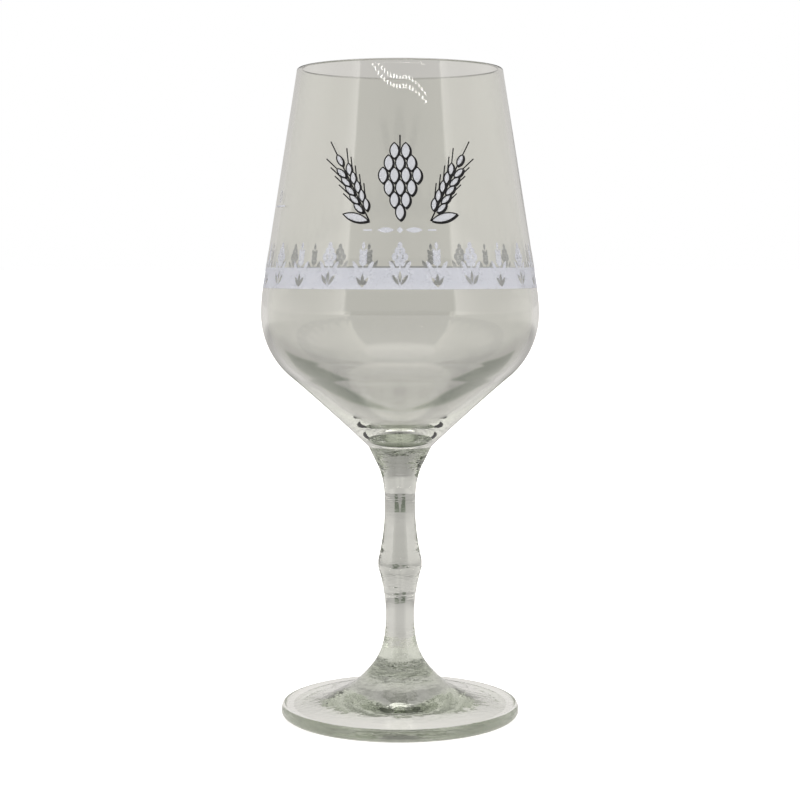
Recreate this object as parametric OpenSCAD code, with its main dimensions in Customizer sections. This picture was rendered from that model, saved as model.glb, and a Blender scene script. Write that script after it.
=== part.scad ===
// Stemmed beer glass with fired enamel prints.
// The origin is the middle of the foot's resting plane, +Z is up and -Y is the printed front.
// Every glass piece is turned from an outline of [radius, height] points.

/* [Bowl] */
// Height from the stem's weld to the bowl's widest place
belly_rise = 44.1; // [40:0.1:50]
// Height from the widest place to the lip
side_rise = 79.9; // [74:0.1:94]
// Outside diameter at the widest place
belly_d = 91.6; // [88:0.1:96]
// Outside diameter at the lip
lip_d = 67.4; // [63:0.1:73]
// Radius of the shoulder above the widest place
shoulder_r = 54; // [42:1:62]
// Radius of the shoulder below the widest place
under_r = 26.9; // [23:0.1:31]
// Angle that the shoulder below turns through, in degrees
under_turn = 50.6; // [46:0.2:56]
// Glass wall at the lip
lip_wall = 1.5; // [1.2:0.1:2]
// Glass wall at the widest place
belly_wall = 2; // [1.6:0.1:2.6]
// Glass between the bowl's hollow and the stem's weld
bowl_floor = 3.5; // [3:0.1:6]

/* [Stem] */
// Diameter of the weld between bowl and stem
neck_weld_d = 20.7; // [18:0.1:23]
// Length from the ring to the bowl's weld
upper_stem_l = 37.8; // [31:0.1:46]
// Height of the upper waist above the ring
upper_waist_rise = 18; // [15:0.1:21]
// Diameter of the upper waist
upper_waist_d = 10.1; // [9:0.1:11.5]
// Diameter of the ring
ring_d = 14.5; // [13:0.1:16]
// Height of the ring's straight band
ring_band = 2.6; // [1.6:0.1:4]
// Length from the foot's weld to the ring
lower_stem_l = 35; // [30:0.5:42]
// Height of the lower waist above the foot's weld
lower_waist_rise = 19; // [16:0.1:22]
// Diameter of the lower waist
lower_waist_d = 9.5; // [8.5:0.1:11]

/* [Foot] */
// Diameter of the foot
foot_d = 79.4; // [74:0.2:85]
// Thickness at the foot's edge
foot_edge = 4.4; // [3.9:0.1:5]
// Height of the edge's outermost line
foot_nose = 1.9; // [1.5:0.1:2.4]
// Width of the edge's upper rounding
foot_top_round = 1.3; // [0.9:0.1:2]
// Width of the edge's lower rounding
foot_low_round = 2.3; // [1.6:0.1:3]
// Height from the table to the stem's weld
boss_h = 14.6; // [12.6:0.2:18]
// Diameter of the weld between stem and foot
foot_weld_d = 22.3; // [19:0.1:25]
// Width of the flat ring that the glass rests on
rest_w = 2.2; // [1.6:0.1:3.4]
// Depth of the hollow under the foot
foot_hollow = 3.4; // [2.4:0.1:3.9]

/* [Prints] */
// Thickness of the fired enamel
ink_t = 0.06; // [0.04:0.01:0.12]
// Height of the frieze's plain ground band
band_h = 6.6; // [5:0.1:8]
// Number of motifs round the frieze
frieze_count = 24; // [16:2:28]
// Clear glass between the frieze's crest and the rule below the emblem
rule_gap = 1.9; // [1:0.1:4]
// Width of the rule below the emblem
rule_w = 22.4; // [17:0.2:27]
// Clear glass between the rule and the emblem
emblem_gap = 1; // [0.6:0.1:3]
// Width of the emblem's outlines
line_w = 0.38; // [0.26:0.01:0.5]
// Length of the fill mark
mark_l = 10.4; // [6:0.2:14]
// Depth of the fill mark below the lip
mark_drop = 45; // [38:1:52]
// Turn of the fill mark from the front, in degrees
mark_turn = -71; // [-100:1:-50]

/* [Emblem] */
// Length of one scale of the hop cone
scale_l = 5.4; // [4.2:0.1:6]
// Width of one scale
scale_w = 3.1; // [2.5:0.1:3.4]
// Length of one barley grain
grain_l = 4.4; // [3.6:0.1:5]
// Width of one grain
grain_w = 2.1; // [1.7:0.1:2.3]
// Length of one awn beyond its grain
awn_l = 4.8; // [3:0.1:6]
// Distance of an ear's foot from the emblem's middle
ear_offset = 9.4; // [8.4:0.1:11.4]
// Lean of each ear, in degrees
ear_lean = 26; // [20:1:32]

/* [Hidden] */

$fn = 96;
overrun = 1;

clear_glass = [0.80, 0.81, 0.78, 0.45];
white_enamel = [0.87, 0.88, 0.92];
black_enamel = [0.05, 0.05, 0.05];

// Heights of the welds, the ring and the bowl, stacked from the table up
ring_low_z = boss_h + lower_stem_l;
ring_top_z = ring_low_z + ring_band;
neck_weld_z = ring_top_z + upper_stem_l;
belly_z = neck_weld_z + belly_rise;
lip_z = belly_z + side_rise;

// Steps that each round stretch is drawn with
arc_steps = 18;
curve_steps = 20;
edge_steps = 6;

// Slope of the bowl's wall where it leaves the weld, in degrees
cone_turn = 45;

// Handles of the curves, as shares of the stretch that each one shapes
flare_slope_share = 0.45;
neck_pull_shares = [0.58, 0.37];
cone_pull_shares = [0.22, 0.19];
boss_slope_share = 0.9;
boss_pull_shares = [0.54, 0.25];
disc_pull_shares = [0.18, 0.66];
disc_slope_share = 0.08;
hollow_pull_shares = [0.58, 0.27];
floor_pull_shares = [0.58, 0.26];
quarter_pull_share = 0.5523;

// Point on a curve with two handles
function curve_point(a, b, c, d, t) =
    pow(1 - t, 3) * a + 3 * pow(1 - t, 2) * t * b + 3 * (1 - t) * t * t * c + pow(t, 3) * d;

// The curve's points after its first
function curve(a, b, c, d, steps = curve_steps) =
    [for (i = [1:steps]) curve_point(a, b, c, d, i / steps)];

// Points of a quarter of an ellipse round a corner, after its first
function quarter(a, corner, b) =
    curve(a, a + quarter_pull_share * (corner - a), b + quarter_pull_share * (corner - b), b,
          edge_steps * 2);

// Points of an arc from one angle to another, without its first
function arc(middle, r, from, to, steps = arc_steps) =
    [for (i = [1:steps])
        let (turn = from + (to - from) * i / steps)
        middle + r * [cos(turn), sin(turn)]];

// Angle at which a line from a point above touches a circle on its outer side
function touch_angle(middle, r, point) =
    let (away = point - middle)
    atan2(away.y, away.x) - acos(r / norm(away));

// Radius of the arc that leaves a waist upright and reaches a rise over a run
function waist_r(run, rise) = (run * run + rise * rise) / (2 * rise);

// Shoulder arcs that the bowl's outside and inside share their middles with
upper_middle = [belly_d / 2 - shoulder_r, belly_z];
under_middle = [belly_d / 2 - under_r, belly_z];
lip_out = [lip_d / 2, lip_z - lip_wall / 2];
lip_in = [lip_d / 2 - lip_wall, lip_z - lip_wall / 2];
lip_middle = (lip_out + lip_in) / 2;
side_turn = touch_angle(upper_middle, shoulder_r, lip_out);
side_turn_in = touch_angle(upper_middle, shoulder_r - belly_wall, lip_in);

// Lower end of the straight side, where the prints may begin
side_low = upper_middle + shoulder_r * [cos(side_turn), sin(side_turn)];

// Direction of the wall where the lower shoulder ends
under_run = [-sin(under_turn), -cos(under_turn)];
under_end = under_middle + under_r * [cos(under_turn), -sin(under_turn)];
under_end_in = under_middle + (under_r - belly_wall) * [cos(under_turn), -sin(under_turn)];

neck_weld = [neck_weld_d / 2, neck_weld_z];
foot_weld = [foot_weld_d / 2, boss_h];
hollow_low = [0, neck_weld_z + bowl_floor];

// Outside of the bowl, from the weld up to the lip
function bowl_outside() = concat(
    [neck_weld],
    let (run = norm(under_end - neck_weld))
    curve(neck_weld,
          neck_weld + cone_pull_shares[0] * run * [cos(cone_turn), sin(cone_turn)],
          under_end + cone_pull_shares[1] * run * under_run,
          under_end, edge_steps * 2),
    arc(under_middle, under_r, -under_turn, 0),
    arc(upper_middle, shoulder_r, 0, side_turn, edge_steps),
    [lip_out]);

// Fire-polished lip, then the inside of the bowl down to the middle of its floor
function bowl_inside() = concat(
    arc(lip_middle, lip_wall / 2, 0, 180, edge_steps * 2),
    [upper_middle + (shoulder_r - belly_wall) * [cos(side_turn_in), sin(side_turn_in)]],
    arc(upper_middle, shoulder_r - belly_wall, side_turn_in, 0, edge_steps),
    arc(under_middle, under_r - belly_wall, 0, -under_turn),
    let (depth = norm(under_end_in - hollow_low))
    curve(under_end_in,
          under_end_in + floor_pull_shares[0] * depth * under_run,
          hollow_low + [floor_pull_shares[1] * depth, 0],
          hollow_low));

module bowl() {
    color(clear_glass)
    rotate_extrude()
    polygon(concat([[0, neck_weld_z]], bowl_outside(), bowl_inside()));
}

// Stem above the ring: a flare down to the waist, then a hollow arc to the ring's edge
function upper_stem() =
    let (waist_z = ring_top_z + upper_waist_rise,
         waist = [upper_waist_d / 2, waist_z],
         run = neck_weld_z - waist_z,
         rise = ring_d / 2 - waist.x,
         bend = waist_r(upper_waist_rise, rise))
    concat(
        [neck_weld],
        curve(neck_weld,
              neck_weld - neck_pull_shares[1] * run * [flare_slope_share, 1],
              waist + [0, neck_pull_shares[0] * run],
              waist),
        arc(waist + [bend, 0], bend, 180, 180 + asin(upper_waist_rise / bend)));

// Stem below the ring: a hollow arc to the waist, then a flare down to the foot
function lower_stem() =
    let (waist_z = boss_h + lower_waist_rise,
         waist = [lower_waist_d / 2, waist_z],
         run = ring_low_z - waist_z,
         rise = ring_d / 2 - waist.x,
         bend = waist_r(run, rise))
    concat(
        [[ring_d / 2, ring_low_z]],
        arc(waist + [bend, 0], bend, 180 - asin(run / bend), 180),
        curve(waist,
              waist - [0, boss_pull_shares[0] * lower_waist_rise],
              foot_weld + boss_pull_shares[1] * lower_waist_rise * [-boss_slope_share, 1],
              foot_weld));

module stem() {
    color(clear_glass)
    rotate_extrude()
    polygon(concat([[0, neck_weld_z]], upper_stem(), lower_stem(), [[0, boss_h]]));
}

// Foot: the boss sweeps out to a shallow disc with a rounded edge, hollow underneath
function foot_outline() =
    let (top_edge = [foot_d / 2 - foot_top_round, foot_edge],
         spread = top_edge.x - foot_weld.x,
         rest_out = foot_d / 2 - foot_low_round,
         rest_in = rest_out - rest_w)
    concat(
        [[0, foot_hollow], [0, boss_h], foot_weld],
        curve(foot_weld,
              foot_weld + disc_pull_shares[0] * spread * [boss_slope_share, -1],
              top_edge + disc_pull_shares[1] * spread * [-1, disc_slope_share],
              top_edge),
        quarter(top_edge, [foot_d / 2, foot_edge], [foot_d / 2, foot_nose]),
        quarter([foot_d / 2, foot_nose], [foot_d / 2, 0], [rest_out, 0]),
        [[rest_in, 0]],
        curve([rest_in, 0],
              [rest_in * (1 - hollow_pull_shares[1]), foot_hollow * hollow_pull_shares[0]],
              [rest_in * hollow_pull_shares[1], foot_hollow],
              [0, foot_hollow], edge_steps));

module foot() {
    color(clear_glass)
    rotate_extrude()
    polygon(foot_outline());
}

// Prints

// Outside radius of the bowl's straight side at a height
function side_r(z) =
    lip_out.x + (side_low.x - lip_out.x) * (lip_out.y - z) / (lip_out.y - side_low.y);

// Thin ring of enamel on the straight side
module ink_ring(z, height) {
    rotate_extrude()
    polygon([[side_r(z), z], [side_r(z) + ink_t, z],
             [side_r(z + height) + ink_t, z + height], [side_r(z + height), z + height]]);
}

// Flat artwork laid on the bowl's side, its own zero at the given height and turn. It is cut
// through the skin from a depth inside the bowl.
module on_side(z, turn = 0, depth = lip_d / 2) {
    rotate([90, 0, turn])
    translate([0, z, belly_d / 2 - depth])
    linear_extrude(height = depth + overrun)
    children();
}

// Leaf with a point at both ends, upright, drawn in by an inset all round
module leaf(length, width, inset = 0) {
    bend = (length * length + width * width) / (4 * width);
    intersection() {
        translate([bend - width / 2, 0]) circle(r = bend - inset);
        translate([width / 2 - bend, 0]) circle(r = bend - inset);
    }
}

// Places of a hop cone's scales from its lowest up, in rows that interlock
hop_rows = [1, 2, 3, 4, 3, 2];
frieze_hop_rows = [2, 3, 2, 1];
row_step_share = 0.7;
scale_step_share = 1.13;

module place_scales(rows, length, width) {
    for (row = [0:len(rows) - 1])
        for (i = [0:rows[row] - 1])
            translate([(i - (rows[row] - 1) / 2) * width * scale_step_share,
                       row * length * row_step_share + length / 2])
            children();
}

// Places of an ear's grains above its foot, in pairs that lean out, and one at the top
grain_lean = 20;
grain_step_share = 0.69;
grain_side_share = 0.62;

module place_grains(pairs, length, width, foot) {
    for (pair = [0:pairs - 1])
        for (side = [-1, 1])
            translate([side * width * grain_side_share, foot + pair * length * grain_step_share])
            rotate(-side * grain_lean)
            children();
    translate([0, foot + length * (pairs + 1 / 4) * grain_step_share])
    children();
}

// Emblem: a hop cone between two ears of barley, its zero at its lowest point
ear_pairs = 5;
ear_foot = grain_l * 1.15;
shadow_step = line_w;
emblem_leaf_l = grain_l * 2;
emblem_leaf_w = grain_w * 1.4;
emblem_leaf_turn = 75;
emblem_h = scale_l * (1 + (len(hop_rows) - 1) * row_step_share);
stalk_w = line_w * 1.2;
cone_stalk_l = scale_l * 0.4;

module place_ears() {
    for (side = [-1, 1])
        translate([side * ear_offset, 0])
        rotate(-side * ear_lean)
        children();
}

module place_leaves() {
    for (side = [-1, 1])
        translate([side * (ear_offset + emblem_leaf_l * sin(emblem_leaf_turn) / 2),
                   emblem_leaf_l * cos(emblem_leaf_turn) / 2])
        rotate(-side * emblem_leaf_turn)
        children();
}

module emblem_leaves(inset = 0) {
    place_scales(hop_rows, scale_l, scale_w) leaf(scale_l, scale_w, inset);
    place_ears()
    place_grains(ear_pairs, grain_l, grain_w, ear_foot)
    leaf(grain_l, grain_w, inset);
    place_leaves() leaf(emblem_leaf_l, emblem_leaf_w, inset);
}

// Thin strokes: the ears' stalks and awns, and the cone's stalk
module emblem_strokes() {
    place_ears() {
        translate([-stalk_w / 2, 0])
        square([stalk_w, ear_foot + grain_l * ear_pairs * grain_step_share]);
        place_grains(ear_pairs, grain_l, grain_w, ear_foot)
        translate([-line_w / 2, grain_l / 2 - line_w])
        square([line_w, awn_l]);
    }
    translate([-stalk_w / 2, emblem_h - scale_l / 2])
    square([stalk_w, scale_l / 2 + cone_stalk_l]);
}

crest_h = 7.9;
frieze_z = side_low.y;
crest_z = frieze_z + band_h;
rule_h = 3.5;
rule_z = crest_z + crest_h + rule_gap;
emblem_z = rule_z + rule_h + emblem_gap;

// The skin reaches past the emblem's outlines on both sides
module emblem_skin() {
    ink_ring(emblem_z - shadow_step - overrun, emblem_h + cone_stalk_l + awn_l + overrun);
}

module emblem_fill() {
    color(white_enamel)
    intersection() {
        emblem_skin();
        on_side(emblem_z) emblem_leaves(line_w);
    }
}

module emblem_outline() {
    color(black_enamel)
    intersection() {
        emblem_skin();
        on_side(emblem_z)
        difference() {
            union() {
                emblem_leaves();
                translate([shadow_step, -shadow_step]) emblem_leaves();
                emblem_strokes();
            }
            emblem_leaves(line_w);
        }
    }
}

// Rule: a lozenge between two leaves and two dashes
rule_leaf_l = 5.2;
rule_leaf_w = 1.6;
dash_w = 0.5;

module rule_art() {
    circle(d = rule_h * 0.6, $fn = 4);
    for (side = [-1, 1]) {
        translate([side * (rule_h / 2 + rule_leaf_l / 2), 0])
        rotate(90)
        leaf(rule_leaf_l, rule_leaf_w);
        translate([side * (rule_w / 2 - rule_leaf_l / 4) - rule_leaf_l / 4, -dash_w / 2])
        square([rule_leaf_l / 2, dash_w]);
    }
}

module rule_ornament() {
    color(white_enamel)
    intersection() {
        ink_ring(rule_z, rule_h);
        on_side(rule_z + rule_h / 2) rule_art();
    }
}

// Frieze: hop cones and barley ears rise in turn from a ground band with leaves left clear
frieze_scale_l = 2.5;
frieze_scale_w = 1.55;
frieze_grain_l = 2.3;
frieze_grain_w = 1.1;
frieze_ear_pairs = 3;
frieze_leaf_l = 3.5;
frieze_leaf_w = 1.25;
frieze_leaf_turn = 32;
frieze_stroke = 0.3;
clear_leaf_l = 3.8;
clear_leaf_w = 1.05;
clear_leaf_turn = 35;
root = frieze_stroke * 2;

// Shallow enough for neighbours in the frieze to stay apart
frieze_depth = belly_d / 2 - side_r(crest_z + crest_h) + overrun;

module frieze_leaves() {
    for (side = [-1, 1])
        translate([side * frieze_leaf_l * 0.7, frieze_leaf_l * 0.34 - root])
        rotate(-side * frieze_leaf_turn)
        leaf(frieze_leaf_l, frieze_leaf_w);
}

module frieze_hop() {
    translate([0, frieze_stroke])
    place_scales(frieze_hop_rows, frieze_scale_l, frieze_scale_w)
    leaf(frieze_scale_l, frieze_scale_w);
    translate([-frieze_stroke, -root]) square([frieze_stroke * 2, frieze_scale_l]);
}

module frieze_ear() {
    place_grains(frieze_ear_pairs, frieze_grain_l, frieze_grain_w, frieze_grain_l * 0.7)
    leaf(frieze_grain_l, frieze_grain_w);
    translate([-frieze_stroke / 2, -root])
    square([frieze_stroke, crest_h + root]);
}

module crest(i) {
    frieze_leaves();
    if (i % 2 == 0) frieze_hop();
    else frieze_ear();
}

// Leaves that the ground band leaves clear
module clear_leaves(i) {
    translate([0, -band_h / 2])
    for (turn = [-1, 0, 1])
        rotate(-turn * clear_leaf_turn)
        translate([0, (i % 2 == 0 ? 1 : -1) * clear_leaf_l * 0.12])
        translate([turn * clear_leaf_w * 1.3, 0])
        leaf(clear_leaf_l, clear_leaf_w);
}

module frieze() {
    color(white_enamel)
    difference() {
        union() {
            ink_ring(frieze_z, band_h);
            intersection() {
                ink_ring(crest_z, crest_h);
                for (i = [0:frieze_count - 1])
                    on_side(crest_z, i * 360 / frieze_count, frieze_depth) crest(i);
            }
        }
        for (i = [0:frieze_count - 1])
            on_side(crest_z, i * 360 / frieze_count, frieze_depth) clear_leaves(i);
    }
}

// Fill mark: a thin line with a small drop above it
mark_w = 0.5;
drop_l = 4.2;
drop_w = 2.3;

module fill_mark() {
    mark_z = lip_z - mark_drop;
    color(white_enamel)
    intersection() {
        ink_ring(mark_z - mark_w, drop_l + mark_w * 4);
        on_side(mark_z, mark_turn) {
            translate([-mark_l / 2, -mark_w / 2]) square([mark_l, mark_w]);
            translate([0, drop_l / 2 + mark_w * 2])
            difference() {
                leaf(drop_l, drop_w);
                leaf(drop_l, drop_w, mark_w * 0.7);
            }
        }
    }
}

bowl();
stem();
foot();
emblem_fill();
emblem_outline();
rule_ornament();
frieze();
fill_mark();
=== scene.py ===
import math

import bpy
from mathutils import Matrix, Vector


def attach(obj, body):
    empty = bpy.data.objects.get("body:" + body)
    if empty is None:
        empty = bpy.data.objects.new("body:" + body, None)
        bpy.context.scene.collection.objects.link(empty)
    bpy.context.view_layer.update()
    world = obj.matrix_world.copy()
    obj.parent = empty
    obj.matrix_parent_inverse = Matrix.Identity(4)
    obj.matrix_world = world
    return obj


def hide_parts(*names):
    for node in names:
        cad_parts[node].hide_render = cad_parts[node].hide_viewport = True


bl_info = {
    "name": "Stemmed beer glass",
    "version": (1, 0, 0),
    "blender": (4, 5, 0),
    "location": "3D View > Sidebar > Beer Glass",
    "description": "Turns a stemmed beer glass, seats its fired prints and sets up a soft studio",
    "category": "Add Mesh",
}

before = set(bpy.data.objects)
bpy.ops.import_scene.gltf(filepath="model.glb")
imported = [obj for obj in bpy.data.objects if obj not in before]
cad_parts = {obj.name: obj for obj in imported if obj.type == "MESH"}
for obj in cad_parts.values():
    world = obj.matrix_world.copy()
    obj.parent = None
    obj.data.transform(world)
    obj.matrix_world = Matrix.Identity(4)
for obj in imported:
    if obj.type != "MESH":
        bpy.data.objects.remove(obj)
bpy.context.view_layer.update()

MM = 0.001
MERGE = 0.001 * MM
WELD_GAP = 0.02 * MM
NEAR_WELD = 1.2 * WELD_GAP
SMOOTH = math.radians(30)
# Steps round each turned piece, fine because glass shows every flat face
BOWL_STEPS = 288
STEM_STEPS = 192
FOOT_STEPS = 288

# How far each curve's two handles reach, as shares of the curve's length or height
CONE_REACH = (0.22, 0.19)
FLOOR_REACH = (0.58, 0.26)
BOSS_REACH = (0.25, 0.54)
NECK_REACH = (0.58, 0.37)
DISC_REACH = (0.66, 0.18)
HOLLOW_REACH = (0.27, 0.73)
HOLLOW_FALL = 0.58
QUARTER_REACH = 0.5523
CORNER_REACH = 0.55
# Slopes where the curves meet a weld or the foot's edge
BOSS_RUN = 0.9
NECK_RUN = 0.45
DISC_RISE = 0.08
# Share of the bowl's side that keeps its lip crisp under smooth shading
NEAR_LIP = 0.012


# Properties


def length(name, about, mm):
    """A length in millimetres, kept as Blender's metres"""
    return bpy.props.FloatProperty(
        name=name, description=about, default=mm * MM, unit="LENGTH", precision=5
    )


def share(name, about, value):
    """A plain number, such as a share or a strength"""
    return bpy.props.FloatProperty(
        name=name, description=about, default=value, min=0, max=40
    )


def angle(name, about, degrees):
    """An angle in degrees, kept as Blender's radians"""
    return bpy.props.FloatProperty(
        name=name, description=about, default=math.radians(degrees), subtype="ANGLE"
    )


def tint(name, about, value):
    """A colour as an sRGB hex value, such as #e9e9e4"""
    return bpy.props.StringProperty(name=name, description=about, default=value)


class BowlSizes(bpy.types.PropertyGroup):
    belly_rise: length("Belly rise", "Height from the stem's weld to the widest place", 44.1)
    side_rise: length("Side rise", "Height from the widest place to the lip", 79.9)
    belly_d: length("Belly", "Outside diameter at the widest place", 91.6)
    lip_d: length("Lip", "Outside diameter at the lip", 67.4)
    shoulder_r: length("Shoulder above", "Radius of the shoulder above the widest place", 54)
    under_r: length("Shoulder below", "Radius of the shoulder below the widest place", 26.9)
    under_turn: angle("Shoulder turn", "Angle that the shoulder below turns through", 50.6)
    lip_wall: length("Lip wall", "Glass wall at the lip", 1.5)
    belly_wall: length("Belly wall", "Glass wall at the widest place", 2)
    floor: length("Floor", "Glass between the hollow and the stem's weld", 3.5)
    cone_turn: angle("Cone slope", "Slope of the wall where it leaves the weld", 45)


class StemSizes(bpy.types.PropertyGroup):
    neck_weld_d: length("Neck weld", "Diameter of the weld between bowl and stem", 20.7)
    upper_l: length("Upper length", "Length from the ring to the bowl's weld", 37.8)
    upper_waist_rise: length("Upper waist rise", "Height of the upper waist above the ring", 18)
    upper_waist_d: length("Upper waist", "Diameter of the upper waist", 10.1)
    ring_d: length("Ring", "Diameter of the ring", 14.5)
    ring_band: length("Ring band", "Height of the ring's straight band", 2.6)
    ring_edge: length("Ring edge", "Rounding of the ring's two edges", 0.35)
    lower_l: length("Lower length", "Length from the foot's weld to the ring", 35)
    lower_waist_rise: length("Lower waist rise", "Height of the lower waist above its weld", 19)
    lower_waist_d: length("Lower waist", "Diameter of the lower waist", 9.5)


class FootSizes(bpy.types.PropertyGroup):
    foot_d: length("Foot", "Diameter of the foot", 79.4)
    edge: length("Edge", "Thickness at the foot's edge", 4.4)
    nose: length("Nose", "Height of the edge's outermost line", 1.9)
    top_round: length("Upper rounding", "Width of the edge's upper rounding", 1.3)
    low_round: length("Lower rounding", "Width of the edge's lower rounding", 2.3)
    boss_h: length("Boss", "Height from the table to the stem's weld", 14.6)
    weld_d: length("Foot weld", "Diameter of the weld between stem and foot", 22.3)
    rest_w: length("Rest", "Width of the flat ring that the glass rests on", 2.2)
    hollow: length("Hollow", "Depth of the hollow under the foot", 3.4)


class PrintSizes(bpy.types.PropertyGroup):
    ink: length("Ink", "Thickness of the fired enamel", 0.06)
    lift: length("Lift", "Clear space kept under the enamel", 0.012)
    longest_edge: length("Longest edge", "Longest edge of a print's faces", 1)


class GlassColours(bpy.types.PropertyGroup):
    glass: tint("Glass", "Clear glass where it is thin", "#f7f7f4")
    glass_streak: tint("Glass streak", "Faint streaks in the glass", "#f4f5f0")
    depth: tint("Depth", "Olive that thick glass takes on", "#a9b49a")
    blown_density: share("Blown density", "How soon thick blown glass takes on its olive", 6)
    pressed_density: share("Pressed density", "How soon pressed glass does so", 16)
    white: tint("White enamel", "Fired white enamel", "#e4e7f1")
    white_thin: tint("Thin white", "Thinner spots of the white enamel", "#d3d6de")
    emblem_thin: tint("Thin emblem", "Thinner spots of the emblem's white enamel", "#d8d9e2")
    black: tint("Black enamel", "Fired black enamel", "#08080a")
    black_thin: tint("Thin black", "Thinner spots of the black enamel", "#141416")


class StageSettings(bpy.types.PropertyGroup):
    paper: tint("Paper", "Colour of the paper as the camera sees it", "#f4f4f2")
    sweep: tint("Sweep", "Colour of the paper sweep in the glass", "#fffcfa")
    # The two dim patches are painted shade in the table's glow, seen only in the glass
    painted_shade_tint: tint("Painted shade", "Colour of the two dim cards behind the glass", "#f0ffe4")
    painted_shade_level: share("Card level", "Brightness of the cards, as a share of the table's", 0.4)
    tent: share("Tent", "Brightness that the tent's levels are shares of", 2.3)
    top: share("Top", "Brightness of the lamps overhead", 2.05)
    paper_lift: share("Paper lift", "Even light in the paper as the camera sees it", 0.55)
    diode: share("Diodes", "Brightness of the lamp's diodes", 16)
    fill: share("Fill", "Power of each soft lamp on the enamel, in watts", 4)


# Levels round the tent, by degrees from the camera's side, as shares of its brightness. The dark
# gap on the camera's side gives the bowl its soft-edged middle band.
HALF_TURN = 180
LOW_TENT = ((0, 0.09), (45, 0.09), (47, 0.85), (58, 0.6), (75, 0.43), (108, 0.42), (130, 0.36),
            (150, 0.28), (168, 0.27), (175, 0.3), (178, 0.28), (180, 0.265))
HIGH_TENT = ((0, 0.09), (45, 0.09), (47, 0.85), (58, 0.52), (75, 0.43), (108, 0.42), (130, 0.34),
             (152, 0.2), (168, 0.16), (180, 0.18))
# Heights between which the tent turns from its low levels to its high ones, and from these to
# the lamps overhead, as the upward part of a direction
LOW_TO_HIGH = (0.1, 0.3)
HIGH_TO_TOP = (0.75, 0.88)
# Levels of the table's painted glow in the glass, by metres from the glass, in front of it and
# behind it:
# painted light that stands in for the table's light and shade, with a painted shadow under the
# foot in front
TABLE_REACH = 2
FRONT_TABLE = ((0, 0.33), (0.04, 0.33), (0.08, 0.4), (0.2, 0.35), (0.5, 0.26), (1, 0.24),
               (2, 0.24))
REAR_TABLE = ((0, 0.35), (0.04, 0.34), (0.06, 0.25), (0.27, 0.24), (0.42, 0.19), (0.8, 0.15),
              (1.1, 0.175), (1.6, 0.25), (2, 0.26))
# Shares of a half turn between which the table's painted glow turns from its front levels to its
# rear ones, and between which it gets brighter towards the sides, as painted light
FRONT_TO_REAR = (0.4, 0.64)
REAR_TO_SIDE = (0.965, 0.88)
SIDE_LIFT = 1.25
# The two painted shade patches in the table's glow lean outwards with distance. Their middle and
# half width, aside and away, are in metres, and their soft edge starts and ends at shares of the
# half width
PAINTED_SHADE_LEAN = 0.22
PAINTED_SHADE_ASIDE = (-0.035, 0.055)
PAINTED_SHADE_AWAY = (0.67, 0.25)
PAINTED_SHADE_EDGE = (1.15, 0.75)
# The lamp's diodes: first place, pitch, count and half size, round the glass and upwards
DIODES_ROUND = (-0.54, 0.06, 18, 0.012)
DIODES_UP = (0.403, 0.0044, 2, 0.001)
DROOP_START = 0.05
DROOP = 0.09

BOUNCES = 32
FLOOR_SIZE = 60
FILL_PLACES = {"fill_left": (-0.6, -1.2, 0.5), "fill_right": (0.6, -1.2, 0.5)}
FILL_SIZE = 0.5
FILL_AIM = (0, 0, 0.15)
# Camera: its focal length and the photograph's width in pixels, its place and its downward tilt
FOCAL_PX = 1829.7
PHOTO_PX = 800
SENSOR_MM = 36
NEAR_CLIP = 0.01
CAMERA_PLACE = (0, -0.6047, 0.15105)
CAMERA_TILT = 4.31

GLASS_IOR = 1.52
STREAK_MM = 25
# Width and depth of the waves in each glass's skin, in millimetres
BLOWN_WAVES = (18, 0.01)
PRESSED_WAVES = (4, 0.03)
# Width and depth of the mould's rings in millimetres, and how much wider they are than high
RING_MM = 1.6
RING_DEPTH_MM = 0.4
RING_STRETCH = (0.3, 0.3, 1)
RING_REACH = 100
# How strong the rings are, by millimetres up the foot and stem: faint on the waists, strong at
# the boss, at the ring and below the bowl
MOULD_RINGS = ((0, 0.35), (3.6, 0.35), (5, 0.1), (9, 0.4), (12, 1), (27, 1), (31, 0.12), (39, 0.1),
               (42, 0.8), (48, 0.8), (53, 0.5), (57, 0.1), (71, 0.1), (73, 0.6), (75, 0.1),
               (80, 0.2), (84, 1), (91, 1))
# The enamel's grain is that of the printing screen's mesh, drawn as coarse as it needs to show
GRAIN_MM = 0.5
GRAIN_DEPTH_MM = 0.02
GRAIN_STRENGTH = 0.3
THIN_SPOTS = (0.55, 0.75)
ENAMEL_IOR = 1.55
ENAMEL_ROUGHNESS = 0.35
ENAMEL_SPECULAR = 0.25
# Cover and clearness of each enamel: how much it hides, and how much light goes through it
WHITE_COVER = (0.6, 0.3)
EMBLEM_COVER = (0.5, 0.3)
BLACK_COVER = (1, 0)


# Outlines: lists of (radius, height) points


def curve(start, leave, arrive, end, steps):
    """Points of a curve with two handles, after its first"""
    points = []
    for i in range(1, steps + 1):
        t = i / steps
        s = 1 - t
        points.append(s**3 * start + 3 * s * s * t * leave + 3 * s * t * t * arrive + t**3 * end)
    return points


def arc(middle, radius, start, end, steps):
    """Points of an arc, after its first"""
    turns = [start + (end - start) * i / steps for i in range(1, steps + 1)]
    return [middle + radius * Vector((math.cos(turn), math.sin(turn))) for turn in turns]


def touch_angle(middle, radius, point):
    """Angle at which a line from a point above touches a circle on its outer side"""
    away = point - middle
    return math.atan2(away.y, away.x) - math.acos(radius / away.length)


def waist_radius(run, rise):
    """Radius of the arc that leaves a waist upright and reaches a rise over a run"""
    return (run * run + rise * rise) / (2 * rise)


def quarter(start, corner, end, steps):
    """Points of a quarter of an ellipse round a corner, after its first"""
    leave, arrive = (point.lerp(corner, QUARTER_REACH) for point in (start, end))
    return curve(start, leave, arrive, end, steps)


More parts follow.
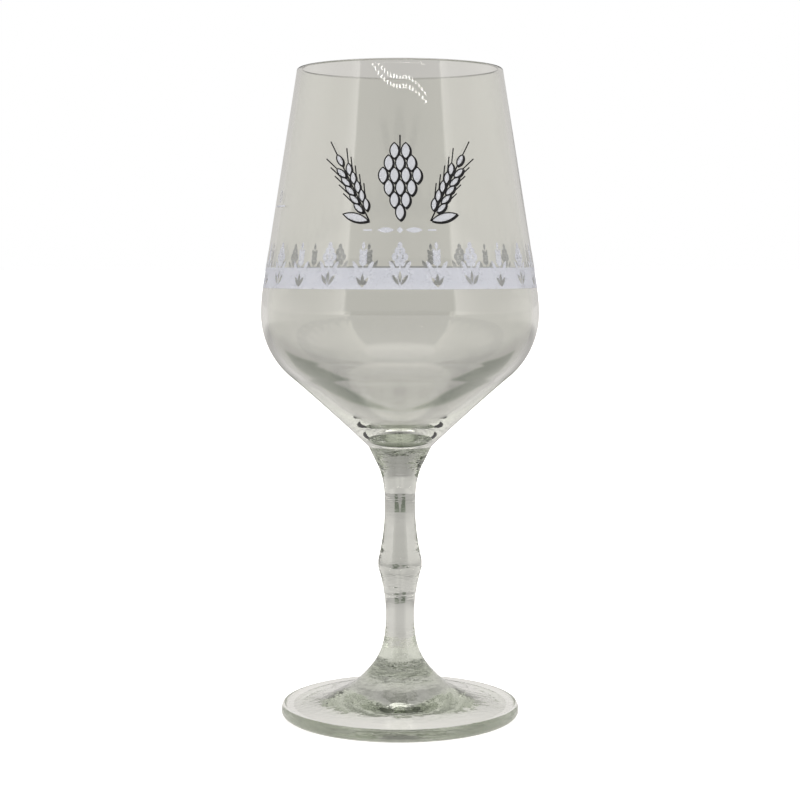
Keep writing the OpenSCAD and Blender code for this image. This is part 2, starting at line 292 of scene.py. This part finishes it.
def rounded(before, corner, after, edge):
    """Points of a rounded corner that starts and ends an edge's width away from it"""
    start = corner + (before - corner).normalized() * edge
    end = corner + (after - corner).normalized() * edge
    leave, arrive = (point.lerp(corner, CORNER_REACH) for point in (start, end))
    return [start] + curve(start, leave, arrive, end, 6)


class Outline:
    """Heights and outlines worked out from the sizes"""

    def __init__(self, scene):
        self.bowl, self.stem, self.foot = scene.bowl_sizes, scene.stem_sizes, scene.foot_sizes
        bowl, stem, foot = self.bowl, self.stem, self.foot
        self.ring_low = foot.boss_h + stem.lower_l
        self.ring_top = self.ring_low + stem.ring_band
        self.neck_z = self.ring_top + stem.upper_l
        self.belly_z = self.neck_z + bowl.belly_rise
        self.lip_z = self.belly_z + bowl.side_rise
        self.neck = Vector((stem.neck_weld_d / 2, self.neck_z))
        self.foot_weld = Vector((foot.weld_d / 2, foot.boss_h))
        self.lip_out = Vector((bowl.lip_d / 2, self.lip_z - bowl.lip_wall / 2))
        self.lip_in = self.lip_out - Vector((bowl.lip_wall, 0))
        self.upper = Vector((bowl.belly_d / 2 - bowl.shoulder_r, self.belly_z))
        self.under = Vector((bowl.belly_d / 2 - bowl.under_r, self.belly_z))
        self.side_turn = touch_angle(self.upper, bowl.shoulder_r, self.lip_out)
        self.side_low = arc(self.upper, bowl.shoulder_r, 0, self.side_turn, 1)[0]

    def side_radius(self, z):
        """Outside radius of the bowl's straight side at a height"""
        fall = (self.lip_out.y - z) / (self.lip_out.y - self.side_low.y)
        return self.lip_out.x + (self.side_low.x - self.lip_out.x) * fall

    def bowl_points(self):
        sizes = self.bowl
        under_end = arc(self.under, sizes.under_r, 0, -sizes.under_turn, 1)[0]
        inner_r = sizes.under_r - sizes.belly_wall
        under_in = arc(self.under, inner_r, 0, -sizes.under_turn, 1)[0]
        down = Vector((-math.sin(sizes.under_turn), -math.cos(sizes.under_turn)))
        rise = Vector((math.cos(sizes.cone_turn), math.sin(sizes.cone_turn)))
        run = (under_end - self.neck).length
        shoulder_in = sizes.shoulder_r - sizes.belly_wall
        turn_in = touch_angle(self.upper, shoulder_in, self.lip_in)
        low = Vector((0, self.neck_z + sizes.floor))
        depth = (under_in - low).length
        outside = [self.neck]
        outside += curve(
            self.neck,
            self.neck + CONE_REACH[0] * run * rise,
            under_end + CONE_REACH[1] * run * down,
            under_end,
            24,
        )
        outside += arc(self.under, sizes.under_r, -sizes.under_turn, 0, 36)
        outside += arc(self.upper, sizes.shoulder_r, 0, self.side_turn, 12)
        outside.append(self.lip_out.lerp(outside[-1], NEAR_LIP))
        lip = arc((self.lip_out + self.lip_in) / 2, sizes.lip_wall / 2, 0, math.pi, 16)
        side_in = arc(self.upper, shoulder_in, turn_in, 0, 12)
        side_start = arc(self.upper, shoulder_in, turn_in, turn_in, 1)
        inside = [self.lip_in.lerp(side_start[0], NEAR_LIP)] + side_start + side_in
        inside += arc(self.under, inner_r, 0, -sizes.under_turn, 36)
        inside += curve(
            under_in,
            under_in + FLOOR_REACH[0] * depth * down,
            low + Vector((FLOOR_REACH[1] * depth, 0)),
            low,
            36,
        )
        return self.weld_face(self.neck, 1) + outside + [self.lip_out] + lip + inside

    def weld_face(self, edge, side):
        """Weld face from the axis to its edge, drawn back a hair so that no two faces coincide"""
        gap = side * WELD_GAP
        return [Vector((0, edge.y + gap)), edge + Vector((-WELD_GAP, gap))]

    def stem_points(self):
        sizes = self.stem
        upper_waist = Vector((sizes.upper_waist_d / 2, self.ring_top + sizes.upper_waist_rise))
        lower_waist = Vector((sizes.lower_waist_d / 2, self.foot.boss_h + sizes.lower_waist_rise))
        flare = self.neck_z - upper_waist.y
        boss = sizes.lower_waist_rise
        upper_bend = waist_radius(sizes.upper_waist_rise, sizes.ring_d / 2 - upper_waist.x)
        lower_run = self.ring_low - lower_waist.y
        lower_bend = waist_radius(lower_run, sizes.ring_d / 2 - lower_waist.x)
        points = self.weld_face(self.foot_weld, 1) + [self.foot_weld]
        points += curve(
            self.foot_weld,
            self.foot_weld + BOSS_REACH[0] * boss * Vector((-BOSS_RUN, 1)),
            lower_waist - Vector((0, BOSS_REACH[1] * boss)),
            lower_waist,
            30,
        )
        lower_turn = math.pi - math.asin(lower_run / lower_bend)
        below = arc(lower_waist + Vector((lower_bend, 0)), lower_bend, math.pi, lower_turn, 16)
        upper_turn = math.pi + math.asin(sizes.upper_waist_rise / upper_bend)
        above = arc(upper_waist + Vector((upper_bend, 0)), upper_bend, upper_turn, math.pi, 18)
        ring_low = below.pop()
        ring_top = Vector((ring_low.x, self.ring_top))
        points += below + rounded(below[-1], ring_low, ring_top, sizes.ring_edge)
        points += rounded(ring_low, ring_top, above[0], sizes.ring_edge) + above
        points += curve(
            upper_waist,
            upper_waist + Vector((0, NECK_REACH[0] * flare)),
            self.neck - NECK_REACH[1] * flare * Vector((NECK_RUN, 1)),
            self.neck,
            30,
        )
        return points + self.weld_face(self.neck, -1)[::-1]

    def foot_points(self):
        sizes = self.foot
        top_edge = Vector((sizes.foot_d / 2 - sizes.top_round, sizes.edge))
        spread = top_edge.x - self.foot_weld.x
        rest_out = Vector((sizes.foot_d / 2 - sizes.low_round, 0))
        rest_in = rest_out - Vector((sizes.rest_w, 0))
        nose = Vector((sizes.foot_d / 2, sizes.nose))
        middle = Vector((0, sizes.hollow))
        points = [middle]
        points += curve(
            middle,
            Vector((rest_in.x * HOLLOW_REACH[0], sizes.hollow)),
            Vector((rest_in.x * HOLLOW_REACH[1], sizes.hollow * HOLLOW_FALL)),
            rest_in,
            24,
        )
        points.append(rest_out)
        points += quarter(rest_out, Vector((nose.x, 0)), nose, 12)
        points += quarter(nose, Vector((nose.x, sizes.edge)), top_edge, 12)
        points += curve(
            top_edge,
            top_edge + DISC_REACH[0] * spread * Vector((-1, DISC_RISE)),
            self.foot_weld + DISC_REACH[1] * spread * Vector((BOSS_RUN, -1)),
            self.foot_weld,
            40,
        )
        return points + self.weld_face(self.foot_weld, -1)[::-1]


# Modelling


def deselect():
    bpy.ops.object.select_all(action="DESELECT")


def edit_mesh():
    """Enters edit mode with nothing selected"""
    bpy.ops.object.mode_set(mode="EDIT")
    bpy.ops.mesh.select_all(action="DESELECT")


def turn_solid(name, outline, steps):
    """Spins an outline that starts and ends on the axis into one closed solid"""
    deselect()
    first = Vector((outline[0].x, 0, outline[0].y))
    bpy.ops.mesh.primitive_plane_add(size=MM, location=first)
    bpy.ops.object.transform_apply(location=True)
    piece = bpy.context.object
    piece.name = piece.data.name = name
    bpy.ops.object.mode_set(mode="EDIT")
    bpy.ops.mesh.select_all(action="SELECT")
    bpy.ops.mesh.merge(type="CENTER")
    for here, there in zip(outline, outline[1:]):
        step = there - here
        bpy.ops.mesh.extrude_region_move(TRANSFORM_OT_translate={"value": (step.x, 0, step.y)})
    bpy.ops.mesh.select_all(action="SELECT")
    bpy.ops.mesh.spin(steps=steps, angle=math.tau, center=(0, 0, 0), axis=(0, 0, 1))
    bpy.ops.mesh.select_all(action="SELECT")
    bpy.ops.mesh.remove_doubles(threshold=MERGE)
    bpy.ops.mesh.normals_make_consistent(inside=False)
    bpy.ops.object.mode_set(mode="OBJECT")
    if not piece.data.polygons:
        raise RuntimeError(f"{name}: the outline didn't spin")
    return piece


def finish_glass(piece, node, glass, weld, welds):
    """Gives a turned piece its glass, clears its weld faces and puts it on the frame"""
    mesh = piece.data
    mesh.materials.append(glass)
    mesh.materials.append(weld)
    for face in mesh.polygons:
        if any(abs(face.center.z - z) < NEAR_WELD for z in welds):
            face.material_index = 1
    bpy.ops.object.shade_smooth_by_angle(angle=SMOOTH)
    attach(piece, "root")
    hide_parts(node)


def seat_print(node, name, material, outline, sizes):
    """Copies a print, divides its long faces and seats them on the bowl's true cone"""
    deselect()
    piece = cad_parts[node].copy()
    piece.data = piece.data.copy()
    for key in list(piece.keys()):
        del piece[key]
    piece.parent = None
    piece.name = piece.data.name = name
    bpy.context.scene.collection.objects.link(piece)
    piece.select_set(True)
    bpy.context.view_layer.objects.active = piece
    bpy.ops.object.mode_set(mode="EDIT")
    bpy.ops.mesh.select_all(action="SELECT")
    bpy.ops.mesh.remove_doubles(threshold=MERGE)
    for _ in range(2):
        select_long_edges(piece, sizes.longest_edge)
        bpy.ops.mesh.subdivide(number_cuts=1)
    bpy.ops.object.mode_set(mode="OBJECT")
    for vertex in piece.data.vertices:
        out = Vector((vertex.co.x, vertex.co.y, 0))
        side = outline.side_radius(vertex.co.z)
        radius = side + (sizes.ink if out.length - side > sizes.ink / 2 else sizes.lift)
        out = out.normalized() * radius
        vertex.co.x, vertex.co.y = out.x, out.y
    piece.data.materials.clear()
    piece.data.materials.append(material)
    bpy.ops.object.shade_smooth_by_angle(angle=SMOOTH)
    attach(piece, "root")
    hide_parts(node)
    return piece


def select_long_edges(piece, longest):
    """Selects the edges that are longer than a length, in edit mode"""
    bpy.ops.object.mode_set(mode="OBJECT")
    edit_mesh()
    bpy.ops.mesh.select_mode(type="EDGE")
    bpy.ops.object.mode_set(mode="OBJECT")
    points = piece.data.vertices
    for edge in piece.data.edges:
        start, end = (points[i].co for i in edge.vertices)
        edge.select = (start - end).length > longest
    bpy.ops.object.mode_set(mode="EDIT")


# Materials


def linear(value):
    """sRGB hex turned into a linear colour"""
    parts = [int(value[i : i + 2], 16) / 255 for i in (1, 3, 5)]
    return [p / 12.92 if p <= 0.04045 else ((p + 0.055) / 1.055) ** 2.4 for p in parts] + [1]


def add(tree, kind, sockets=None, stops=(), **settings):
    """Adds a node, sets it up, sets its ramp's stops, and fills or links its sockets"""
    node = tree.nodes.new(kind)
    for key, value in settings.items():
        setattr(node, key, value)
    for socket, value in (sockets or {}).items():
        if isinstance(value, bpy.types.NodeSocket):
            tree.links.new(value, node.inputs[socket])
        else:
            node.inputs[socket].default_value = value
    for i, (place, colour) in enumerate(stops):
        if i == 0:
            node.color_ramp.elements.remove(node.color_ramp.elements[1])
        element = node.color_ramp.elements.new(place) if i else node.color_ramp.elements[0]
        element.position, element.color = place, colour
    return node


def grey_stops(levels, end):
    """Ramp stops for (place, level) pairs, with places as shares of the end"""
    return [(place / end, (level, level, level, 1)) for place, level in levels]


def new_material(name):
    """An empty material and its node tree"""
    material = bpy.data.materials.new(name)
    material.use_nodes = True
    material.node_tree.nodes.clear()
    return material, material.node_tree


def glass_material(name, colours, waves, density, moulded):
    """Soda-lime glass: clear and glossy. Its skin has soft waves, and rings if it is moulded"""
    material, tree = new_material(name)
    place = add(tree, "ShaderNodeTexCoord").outputs["Object"]
    streaks = add(
        tree,
        "ShaderNodeTexNoise",
        {"Vector": place, "Scale": 1 / (STREAK_MM * MM), "Detail": 2},
    )
    colour = add(
        tree,
        "ShaderNodeMix",
        {
            "Factor": streaks.outputs["Fac"],
            "A": linear(colours.glass),
            "B": linear(colours.glass_streak),
        },
        data_type="RGBA",
    )
    width, depth = waves
    swell = add(
        tree, "ShaderNodeTexNoise", {"Vector": place, "Scale": 1 / (width * MM), "Detail": 1}
    )
    bump = add(
        tree,
        "ShaderNodeBump",
        {"Height": swell.outputs["Fac"], "Strength": 1, "Distance": depth * MM},
    )
    if moulded:
        bump = mould_rings(tree, place, bump)
    shader = add(
        tree,
        "ShaderNodeBsdfPrincipled",
        {
            "Base Color": colour.outputs["Result"],
            "Normal": bump.outputs["Normal"],
            "Transmission Weight": 1,
            "Roughness": 0,
            "IOR": GLASS_IOR,
        },
    )
    finish_with_depth(tree, shader, colours.depth, density)
    return material


def mould_rings(tree, place, skin):
    """Low uneven rings that a mould leaves across pressed glass, on top of its skin's waves"""
    flat = add(
        tree, "ShaderNodeVectorMath", {0: place, 1: RING_STRETCH}, operation="MULTIPLY"
    ).outputs[0]
    rings = add(
        tree, "ShaderNodeTexNoise", {"Vector": flat, "Scale": 1 / (RING_MM * MM), "Detail": 2}
    )
    up = add(tree, "ShaderNodeSeparateXYZ", {"Vector": place}).outputs["Z"]
    rise = add(tree, "ShaderNodeMapRange", {"Value": up, "From Max": RING_REACH * MM}).outputs[0]
    strong = add(tree, "ShaderNodeValToRGB", {"Fac": rise}, grey_stops(MOULD_RINGS, RING_REACH))
    return add(
        tree,
        "ShaderNodeBump",
        {
            "Height": rings.outputs["Fac"],
            "Strength": strong.outputs["Color"],
            "Distance": RING_DEPTH_MM * MM,
            "Normal": skin.outputs["Normal"],
        },
    )


def weld_material(colours):
    """Hot weld: the glass runs through it, so there is nothing to see"""
    material, tree = new_material("hot_glass_weld")
    shader = add(tree, "ShaderNodeBsdfPrincipled", {"Alpha": 0, "IOR": GLASS_IOR})
    finish_with_depth(tree, shader, colours.depth, colours.blown_density)
    return material


def finish_with_depth(tree, shader, depth_colour, density):
    """Adds the olive that soda-lime glass takes on where it is thick"""
    depth = add(
        tree,
        "ShaderNodeVolumeAbsorption",
        {"Color": linear(depth_colour), "Density": density},
    )
    add(
        tree,
        "ShaderNodeOutputMaterial",
        {"Surface": shader.outputs["BSDF"], "Volume": depth.outputs["Volume"]},
    )


def enamel_material(name, colour, thin, cover):
    """Screen-printed enamel: satin, with the fine grain of the mesh and thinner spots"""
    hides, clear = cover
    material, tree = new_material(name)
    place = add(tree, "ShaderNodeTexCoord").outputs["Object"]
    grain = add(
        tree, "ShaderNodeTexNoise", {"Vector": place, "Scale": 1 / (GRAIN_MM * MM), "Detail": 3}
    )
    spots = add(
        tree,
        "ShaderNodeMapRange",
        {
            "Value": grain.outputs["Fac"],
            "From Min": THIN_SPOTS[0],
            "From Max": THIN_SPOTS[1],
        },
    )
    mixed = add(
        tree,
        "ShaderNodeMix",
        {"Factor": spots.outputs["Result"], "A": linear(colour), "B": linear(thin)},
        data_type="RGBA",
    )
    bump = add(
        tree,
        "ShaderNodeBump",
        {
            "Height": grain.outputs["Fac"],
            "Strength": GRAIN_STRENGTH,
            "Distance": GRAIN_DEPTH_MM * MM,
        },
    )
    shader = add(
        tree,
        "ShaderNodeBsdfPrincipled",
        {
            "Base Color": mixed.outputs["Result"],
            "Normal": bump.outputs["Normal"],
            "Roughness": ENAMEL_ROUGHNESS,
            "IOR": ENAMEL_IOR,
            "Specular IOR Level": ENAMEL_SPECULAR,
            "Transmission Weight": clear,
            "Alpha": hides,
        },
    )
    add(tree, "ShaderNodeOutputMaterial", {"Surface": shader.outputs["BSDF"]})
    return material


# Operators


class TurnGlass(bpy.types.Operator):
    """Turns the bowl, the stem and the foot from their outlines"""

    bl_idname = "beer_glass.turn_glass"
    bl_label = "Turn the glass"

    def execute(self, context):
        scene = context.scene
        outline = Outline(scene)
        colours = scene.glass_colours
        # Blown glass cools in air, so it is almost without waves. Pressed glass keeps the
        # mould's uneven skin, which bends what is seen through it
        blown = glass_material(
            "blown_soda_lime_glass", colours, BLOWN_WAVES, colours.blown_density, False
        )
        pressed = glass_material(
            "pressed_soda_lime_glass", colours, PRESSED_WAVES, colours.pressed_density, True
        )
        weld = weld_material(colours)
        bowl = turn_solid("blown_bowl", outline.bowl_points(), BOWL_STEPS)
        finish_glass(bowl, "bowl", blown, weld, [outline.neck_z])
        stem = turn_solid("pressed_stem", outline.stem_points(), STEM_STEPS)
        finish_glass(stem, "stem", pressed, weld, [outline.neck_z, outline.foot.boss_h])
        foot = turn_solid("pressed_foot", outline.foot_points(), FOOT_STEPS)
        finish_glass(foot, "foot", pressed, weld, [outline.foot.boss_h])
        return {"FINISHED"}


class SeatPrints(bpy.types.Operator):
    """Seats the fired prints on the bowl"""

    bl_idname = "beer_glass.seat_prints"
    bl_label = "Seat the prints"

    def execute(self, context):
        scene = context.scene
        outline, sizes = Outline(scene), scene.print_sizes
        colours = scene.glass_colours
        # Fired enamel is ground glass and pigment: the white lets some light through, so it
        # looks blue-white and soft, and the black hides the glass
        white = enamel_material(
            "fired_white_enamel", colours.white, colours.white_thin, WHITE_COVER
        )
        pale = enamel_material(
            "thin_white_enamel", colours.white, colours.emblem_thin, EMBLEM_COVER
        )
        black = enamel_material(
            "fired_black_enamel", colours.black, colours.black_thin, BLACK_COVER
        )
        for node, name, material, slot in (
            ("emblem_fill", "emblem_white", pale, "white_enamel"),
            ("emblem_outline", "emblem_black", black, "black_enamel"),
            ("rule_ornament", "rule_white", white, "white_enamel"),
            ("frieze", "frieze_white", white, "white_enamel"),
            ("fill_mark", "fill_line", white, "white_enamel"),
        ):
            seat_print(node, name, material, outline, sizes)
        return {"FINISHED"}


class SetStage(bpy.types.Operator):
    """Lays the floor and sets the lights and the camera"""

    bl_idname = "beer_glass.set_stage"
    bl_label = "Set the stage"

    def execute(self, context):
        scene = context.scene
        scene.view_settings.view_transform = "Standard"
        # Light turns back many times inside thick glass before it leaves
        for kind in ("max", "glossy", "transmission", "transparent_max"):
            setattr(scene.cycles, f"{kind}_bounces", BOUNCES)
        deselect()
        bpy.ops.mesh.primitive_plane_add(size=FLOOR_SIZE)
        floor = context.object
        floor.name = "floor"
        floor.data.materials.append(self.sweep_material(scene.stage_settings))
        self.set_world(scene)
        for name, place in FILL_PLACES.items():
            self.fill_light(name, place)
        camera = bpy.data.cameras.new("camera")
        camera.sensor_width = SENSOR_MM
        camera.lens = FOCAL_PX / PHOTO_PX * SENSOR_MM
        camera.clip_start = NEAR_CLIP
        stand = bpy.data.objects.new("camera", camera)
        stand.location = CAMERA_PLACE
        stand.rotation_euler = (math.radians(90 - CAMERA_TILT), 0, 0)
        scene.collection.objects.link(stand)
        scene.camera = stand
        return {"FINISHED"}

    def fill_light(self, name, place):
        """Soft light on the enamel that leaves no highlight of its own in the glass"""
        light = bpy.data.lights.new(name, "AREA")
        light.size = FILL_SIZE
        light.energy = bpy.context.scene.stage_settings.fill
        lamp = bpy.data.objects.new(name, light)
        lamp.location = place
        aim = Vector(FILL_AIM) - lamp.location
        lamp.rotation_euler = aim.to_track_quat("-Z", "Y").to_euler()
        lamp.visible_glossy = lamp.visible_transmission = False
        bpy.context.scene.collection.objects.link(lamp)

    def round_share(self, tree, way):
        """How far a direction lies round from the camera's side, as a share of half a turn"""
        parts = add(tree, "ShaderNodeSeparateXYZ", {"Vector": way}).outputs
        aside = add(tree, "ShaderNodeMath", {0: parts["X"]}, operation="ABSOLUTE")
        towards = add(tree, "ShaderNodeMath", {0: parts["Y"], 1: -1}, operation="MULTIPLY")
        sides = {0: aside.outputs[0], 1: towards.outputs[0]}
        turn = add(tree, "ShaderNodeMath", sides, operation="ARCTAN2")
        return add(
            tree, "ShaderNodeMath", {0: turn.outputs[0], 1: math.pi}, operation="DIVIDE"
        ).outputs[0]

    def diodes(self, tree, way):
        """Lamp above the camera: two rows of small diodes that droop at one end"""
        parts = add(tree, "ShaderNodeSeparateXYZ", {"Vector": way}).outputs
        towards = add(tree, "ShaderNodeMath", {0: parts["Y"], 1: -1}, operation="MULTIPLY")
        turn = add(
            tree, "ShaderNodeMath", {0: parts["X"], 1: towards.outputs[0]}, operation="ARCTAN2"
        ).outputs[0]
        end = add(
            tree, "ShaderNodeMath", {0: turn, 1: DROOP_START}, operation="SUBTRACT"
        ).outputs[0]
        end = add(tree, "ShaderNodeMath", {0: end, 1: 0}, operation="MAXIMUM").outputs[0]
        droop = add(tree, "ShaderNodeMath", {0: end, 1: end}, operation="MULTIPLY").outputs[0]
        height = add(
            tree, "ShaderNodeMath", {0: droop, 1: DROOP, 2: parts["Z"]}, operation="MULTIPLY_ADD"
        ).outputs[0]
        lit = 1
        for value, (start, pitch, count, size) in ((turn, DIODES_ROUND), (height, DIODES_UP)):
            off = add(tree, "ShaderNodeMath", {0: value, 1: start}, operation="SUBTRACT")
            middle = (count - 1) * pitch / 2
            within = add(
                tree,
                "ShaderNodeMath",
                {0: off.outputs[0], 1: middle, 2: middle + pitch / 2},
                operation="COMPARE",
            )
            apart = add(
                tree, "ShaderNodeMath", {0: off.outputs[0], 1: pitch / 2}, operation="PINGPONG"
            )
            small = add(
                tree, "ShaderNodeMath", {0: apart.outputs[0], 1: size}, operation="LESS_THAN"
            )
            for factor in (within, small):
                lit = add(
                    tree, "ShaderNodeMath", {0: factor.outputs[0], 1: lit}, operation="MULTIPLY"
                ).outputs[0]
        return lit

    def painted_shade_mask(self, tree, place):
        """Two painted shade patches in the table's glow behind the glass, which give the bowl's
        lower shoulders their crescents
        """
        parts = add(tree, "ShaderNodeSeparateXYZ", {"Vector": place}).outputs
        aside = add(tree, "ShaderNodeMath", {0: parts["X"]}, operation="ABSOLUTE").outputs[0]
        lean = add(
            tree,
            "ShaderNodeMath",
            {0: parts["Y"], 1: -PAINTED_SHADE_LEAN, 2: aside},
            operation="MULTIPLY_ADD",
        ).outputs[0]
        mask = 1
        for where, (middle, half) in ((lean, PAINTED_SHADE_ASIDE), (parts["Y"], PAINTED_SHADE_AWAY)):
            off = add(tree, "ShaderNodeMath", {0: where, 1: middle}, operation="SUBTRACT")
            off = add(tree, "ShaderNodeMath", {0: off.outputs[0]}, operation="ABSOLUTE")
            inside = add(
                tree,
                "ShaderNodeMapRange",
                {
                    "Value": off.outputs[0],
                    "From Min": half * PAINTED_SHADE_EDGE[0],
                    "From Max": half * PAINTED_SHADE_EDGE[1],
                },
                interpolation_type="SMOOTHSTEP",
            )
            mask = add(
                tree, "ShaderNodeMath", {0: inside.outputs[0], 1: mask}, operation="MULTIPLY"
            ).outputs[0]
        return mask

    def sweep_material(self, stage):
        """Paper sweep: white to the eye with soft shadows. In the glass it is a grey table whose
        glow is painted light and shade
        """
        material, tree = new_material("paper_sweep")
        seen = add(tree, "ShaderNodeLightPath").outputs["Is Camera Ray"]
        paper = add(tree, "ShaderNodeBsdfDiffuse", {"Color": linear(stage.paper)})
        lift = add(
            tree, "ShaderNodeEmission", {"Color": (1, 1, 1, 1), "Strength": stage.paper_lift}
        )
        shown = add(tree, "ShaderNodeAddShader", {0: paper.outputs[0], 1: lift.outputs[0]})
        place = add(tree, "ShaderNodeTexCoord").outputs["Object"]
        away = add(tree, "ShaderNodeVectorMath", {0: place}, operation="LENGTH")
        reach = add(
            tree, "ShaderNodeMapRange", {"Value": away.outputs["Value"], "From Max": TABLE_REACH}
        ).outputs[0]
        front, rear = (
            add(tree, "ShaderNodeValToRGB", {"Fac": reach}, grey_stops(levels, TABLE_REACH))
            for levels in (FRONT_TABLE, REAR_TABLE)
        )
        turn = self.round_share(tree, place)
        behind = add(
            tree,
            "ShaderNodeMapRange",
            {"Value": turn, "From Min": FRONT_TO_REAR[0], "From Max": FRONT_TO_REAR[1]},
            interpolation_type="SMOOTHSTEP",
        ).outputs[0]
        level = add(
            tree,
            "ShaderNodeMix",
            {"Factor": behind, "A": front.outputs["Color"], "B": rear.outputs["Color"]},
            data_type="RGBA",
        ).outputs["Result"]
        # Painted shade: two dim patches in the table's glow behind the glass
        painted_shade_patches = self.painted_shade_mask(tree, place)
        dimmed = add(
            tree, "ShaderNodeMapRange", {"Value": painted_shade_patches, "To Min": 1, "To Max": stage.painted_shade_level}
        )
        wide = add(
            tree,
            "ShaderNodeMapRange",
            {
                "Value": turn,
                "From Min": REAR_TO_SIDE[0],
                "From Max": REAR_TO_SIDE[1],
                "To Min": 1,
                "To Max": SIDE_LIFT,
            },
            interpolation_type="SMOOTHSTEP",
        )
        strength = level
        for factor in (dimmed.outputs[0], wide.outputs[0], stage.tent):
            strength = add(
                tree, "ShaderNodeMath", {0: strength, 1: factor}, operation="MULTIPLY"
            ).outputs[0]
        tone = add(
            tree,
            "ShaderNodeMix",
            {"Factor": painted_shade_patches, "A": linear(stage.sweep), "B": linear(stage.painted_shade_tint)},
            data_type="RGBA",
        )
        # Painted light and shade: in the glass the table glows by the levels above, not by the
        # lamps
        painted_table_glow = add(
            tree, "ShaderNodeEmission", {"Color": tone.outputs["Result"], "Strength": strength}
        )
        both = add(
            tree, "ShaderNodeMixShader", {0: seen, 1: painted_table_glow.outputs[0], 2: shown.outputs[0]}
        )
        add(tree, "ShaderNodeOutputMaterial", {"Surface": both.outputs[0]})
        return material

    def set_world(self, scene):
        """Light tent: a dark gap between two bright sides, dim behind, with lamps overhead"""
        stage = scene.stage_settings
        world = bpy.data.worlds.new("light_tent")
        world.use_nodes = True
        tree = world.node_tree
        tree.nodes.clear()
        way = add(tree, "ShaderNodeTexCoord").outputs["Generated"]
        height = add(tree, "ShaderNodeSeparateXYZ", {"Vector": way}).outputs["Z"]
        turn = self.round_share(tree, way)
        low, high = (
            add(tree, "ShaderNodeValToRGB", {"Fac": turn}, grey_stops(levels, HALF_TURN))
            for levels in (LOW_TENT, HIGH_TENT)
        )
        lifted = add(
            tree,
            "ShaderNodeMapRange",
            {"Value": height, "From Min": LOW_TO_HIGH[0], "From Max": LOW_TO_HIGH[1]},
            interpolation_type="SMOOTHSTEP",
        )
        sides = add(
            tree,
            "ShaderNodeMix",
            {
                "Factor": lifted.outputs[0],
                "A": low.outputs["Color"],
                "B": high.outputs["Color"],
            },
            data_type="RGBA",
        )
        tent = add(
            tree,
            "ShaderNodeMath",
            {0: sides.outputs["Result"], 1: stage.tent},
            operation="MULTIPLY",
        )
        above = add(
            tree,
            "ShaderNodeMapRange",
            {"Value": height, "From Min": HIGH_TO_TOP[0], "From Max": HIGH_TO_TOP[1]},
            interpolation_type="SMOOTHSTEP",
        )
        level = add(
            tree,
            "ShaderNodeMix",
            {"Factor": above.outputs[0], "A": tent.outputs[0], "B": stage.top},
            data_type="FLOAT",
        )
        seen = add(tree, "ShaderNodeLightPath").outputs["Is Camera Ray"]
        lit = add(
            tree,
            "ShaderNodeMath",
            {0: self.diodes(tree, way), 1: stage.diode, 2: level.outputs["Result"]},
            operation="MULTIPLY_ADD",
        )
        inside = add(
            tree,
            "ShaderNodeBackground",
            {"Color": linear(stage.sweep), "Strength": lit.outputs[0]},
        )
        outside = add(tree, "ShaderNodeBackground", {"Color": (1, 1, 1, 1), "Strength": 1})
        both = add(
            tree, "ShaderNodeMixShader", {0: seen, 1: inside.outputs[0], 2: outside.outputs[0]}
        )
        add(tree, "ShaderNodeOutputWorld", {"Surface": both.outputs[0]})
        scene.world = world


class GlassPanel(bpy.types.Panel):
    """Sizes, colours and steps of the beer glass"""

    bl_idname = "VIEW3D_PT_beer_glass"
    bl_label = "Beer Glass"
    bl_space_type = "VIEW_3D"
    bl_region_type = "UI"
    bl_category = "Beer Glass"

    def draw(self, context):
        layout = self.layout
        for holder in HOLDERS:
            box = layout.box()
            group = getattr(context.scene, holder)
            for key in group.__annotations__:
                box.prop(group, key)
        for step in STEPS:
            layout.operator(step.bl_idname)


STEPS = (TurnGlass, SeatPrints, SetStage)
HOLDERS = {
    "bowl_sizes": BowlSizes,
    "stem_sizes": StemSizes,
    "foot_sizes": FootSizes,
    "print_sizes": PrintSizes,
    "glass_colours": GlassColours,
    "stage_settings": StageSettings,
}


def register():
    for group in (*HOLDERS.values(), *STEPS, GlassPanel):
        bpy.utils.register_class(group)
    for holder, group in HOLDERS.items():
        setattr(bpy.types.Scene, holder, bpy.props.PointerProperty(type=group))


def unregister():
    for holder in HOLDERS:
        delattr(bpy.types.Scene, holder)
    for group in reversed((*HOLDERS.values(), *STEPS, GlassPanel)):
        bpy.utils.unregister_class(group)


def main():
    register()
    bpy.ops.beer_glass.turn_glass()
    bpy.ops.beer_glass.seat_prints()
    bpy.ops.beer_glass.set_stage()


if __name__ == "__main__":
    main()
